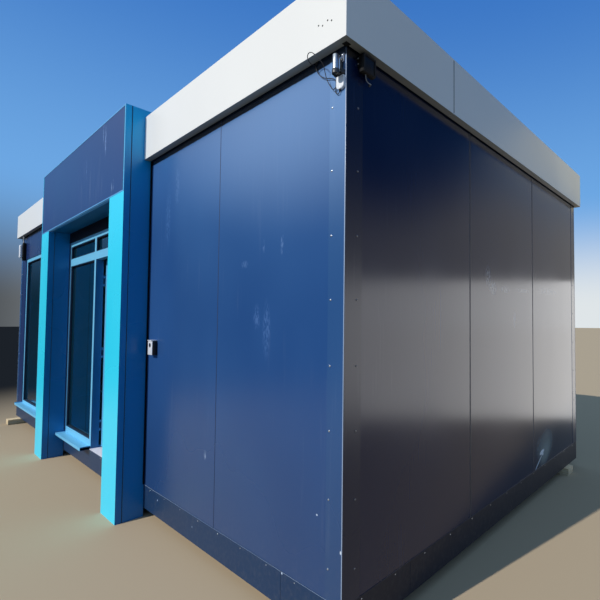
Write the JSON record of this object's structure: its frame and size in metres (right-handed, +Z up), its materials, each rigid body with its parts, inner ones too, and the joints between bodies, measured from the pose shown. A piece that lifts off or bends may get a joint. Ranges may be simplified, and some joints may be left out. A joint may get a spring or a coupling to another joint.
{
  "type": "portable site cabin",
  "caption": "Flat-roofed portable site cabin with flat wall panels, a deep roof fascia, a projecting entrance portal with glazed screen and hinged door, and a window.",
  "frame": {"origin": "on the ground, at the middle of the space that the cabin takes up", "axes": "+Z up, +X along the front wall towards the end wall nearest the entrance, the front wall faces -Y"},
  "size_m": [7.716, 3.843, 3.352],
  "materials": {
    "navy_panel": "satin polyester coating on flat steel sheet",
    "navy_trim": "satin polyester coating on folded steel",
    "white_fascia": "satin white coating on folded steel",
    "sky_blue_cladding": "gloss coating on composite sheet",
    "navy_cladding": "satin coating on composite sheet",
    "blue_frame": "powder coat on aluminium",
    "clear_glass": "double glazing",
    "steel_base": "satin coating on rolled steel",
    "sawn_timber": "rough sawn, weathered",
    "floor_board": "plywood deck",
    "roof_sheet": "coated roof sheet, weathered",
    "pale_threshold": "ribbed strip",
    "handle_steel": "brushed",
    "camera_metal": "satin",
    "white_plastic": "moulded",
    "black_metal": "powder coat, matt",
    "reader_plastic": "moulded, gloss",
    "cable_sheath": "extruded sheath"
  },
  "bodies": {
    "cabin": {"timber_bearers": "sawn_timber", "base_rails": "steel_base", "floor_joists": "steel_base", "floor_deck": "floor_board", "front_wall_panel_1": "navy_panel", "front_wall_panel_2": "navy_panel", "front_wall_over_entrance": "navy_panel", "front_wall_panel_3": "navy_panel", "front_wall_under_window": "navy_panel", "front_wall_over_window": "navy_panel", "front_wall_panel_4": "navy_panel", "right_wall_panel_1": "navy_panel", "right_wall_panel_2": "navy_panel", "right_wall_panel_3": "navy_panel", "left_wall_panels": "navy_panel", "rear_wall_panels": "navy_panel", "corner_trims": "navy_trim", "roof_deck": "roof_sheet", "right_fascia": "white_fascia", "rear_fascia": "white_fascia", "left_fascia": "white_fascia", "front_fascia_left": "white_fascia", "front_fascia_right": "white_fascia", "portal_right_column": "sky_blue_cladding", "portal_left_column": "sky_blue_cladding", "portal_header": "navy_cladding", "portal_soffit": "navy_cladding", "portal_cap": "navy_cladding", "entrance_frame": "blue_frame", "entrance_glass": "clear_glass", "entrance_sill": "blue_frame", "door_threshold": "pale_threshold", "window_frame": "blue_frame", "window_glass": "clear_glass", "window_sill": "blue_frame", "security_camera": "camera_metal", "junction_box": "white_plastic", "floodlight": "black_metal", "corner_lamp": "white_plastic", "access_reader": "reader_plastic", "camera_cable": "cable_sheath", "supply_cable": "cable_sheath", "floodlight_lead": "cable_sheath", "lead_gland": "cable_sheath"},
    "door": {"door_leaf": "blue_frame", "door_glass": "clear_glass", "door_handle": "handle_steel", "door_hinges": "handle_steel"}
  },
  "joints": [
    {"name": "door_hinge", "type": "hinge", "parent": "cabin", "child": "door", "pos_m": [0, -1.6295, 1.267], "axis": [0, 0, 1], "range_deg": [-90, 10]}
  ]
}
